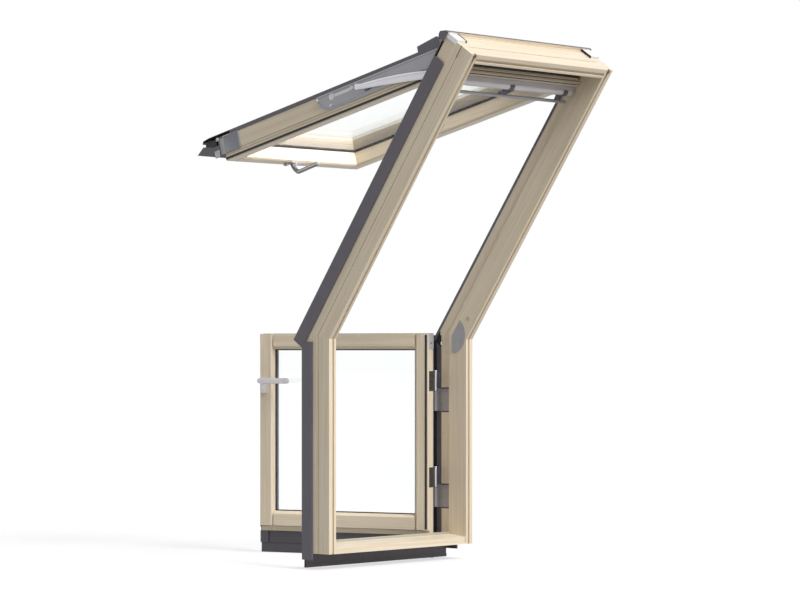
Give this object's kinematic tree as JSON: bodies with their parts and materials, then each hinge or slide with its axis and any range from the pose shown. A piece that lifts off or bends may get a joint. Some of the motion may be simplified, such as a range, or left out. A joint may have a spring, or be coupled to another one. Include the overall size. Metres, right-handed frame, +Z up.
{
  "type": "balcony roof window",
  "caption": "Roof window that bends at the knee: a sloped part with a top hung sash held open, and a vertical part with a glazed door leaf on side hinges.",
  "frame": {"origin": "middle of the sill's flat underside, between the lower jambs", "axes": "+X across the window towards the door leaf's hinges, +Y outdoors, +Z up"},
  "size_m": [1.14, 2.1844, 2.6775],
  "materials": {
    "lacquered_pine": "clear lacquered pine",
    "grey_cladding": "matt powder coat",
    "hinge_steel": "zinc plated",
    "bright_aluminium": "satin",
    "satin_metal": "satin",
    "threshold_aluminium": "anodised",
    "casting_grey": "cast and painted",
    "cover_plastic": "moulded",
    "vent_aluminium": "satin coat",
    "black_rubber": "extruded",
    "clear_glass": "clear",
    "spacer_metal": "dull"
  },
  "bodies": {
    "root": {"apron_bar": "grey_cladding", "arm_covers": "bright_aluminium", "control_bar": "bright_aluminium", "corner_castings": "casting_grey", "grab_rail": "bright_aluminium", "head": "lacquered_pine", "head_batten": "lacquered_pine", "head_caps": "bright_aluminium", "head_hood": "grey_cladding", "hinge_weather_strip": "black_rubber", "knee_covers": "cover_plastic", "left_lifting_arm": "bright_aluminium", "left_lower_cladding": "grey_cladding", "left_lower_jamb": "lacquered_pine", "left_sash_cladding": "grey_cladding", "left_sash_stile": "lacquered_pine", "left_upper_cladding": "grey_cladding", "left_upper_jamb": "lacquered_pine", "lower_hinge_frame_part": "hinge_steel", "right_lifting_arm": "bright_aluminium", "right_lower_cladding": "grey_cladding", "right_lower_jamb": "lacquered_pine", "right_sash_cladding": "grey_cladding", "right_sash_stile": "lacquered_pine", "right_upper_cladding": "grey_cladding", "right_upper_jamb": "lacquered_pine", "sash_bottom_cladding": "grey_cladding", "sash_bottom_rail": "lacquered_pine", "sash_foot": "grey_cladding", "sash_gaskets": "black_rubber", "sash_glass": "clear_glass", "sash_handle": "satin_metal", "sash_spacer": "spacer_metal", "sash_top_hood": "grey_cladding", "sash_top_rail": "lacquered_pine", "sill": "lacquered_pine", "threshold_strip": "threshold_aluminium", "upper_hinge_frame_part": "hinge_steel", "vent_rail": "vent_aluminium"},
    "leaf": {"handle_plate": "satin_metal", "leaf_bottom_rail": "lacquered_pine", "leaf_cladding": "grey_cladding", "leaf_drip": "grey_cladding", "leaf_free_stile": "lacquered_pine", "leaf_gasket": "black_rubber", "leaf_glass": "clear_glass", "leaf_hinge_stile": "lacquered_pine", "leaf_seal": "black_rubber", "leaf_spacer": "spacer_metal", "leaf_top_cap": "cover_plastic", "leaf_top_rail": "lacquered_pine", "lower_hinge_leaf_part": "hinge_steel", "upper_hinge_leaf_part": "hinge_steel"},
    "lever": {"handle_lever": "satin_metal"}
  },
  "joints": [
    {"name": "leaf_hinge", "type": "hinge", "parent": "root", "child": "leaf", "pos_m": [0.514, 0.1265, 0.5], "axis": [0, 0, 1], "range_deg": [-15.2, 74.8]},
    {"name": "lever_turn", "type": "hinge", "parent": "leaf", "child": "lever", "pos_m": [0.1547, 1.0657, 0.864], "axis": [0.965, 0.2622, 0], "range_deg": [0, 90]}
  ]
}
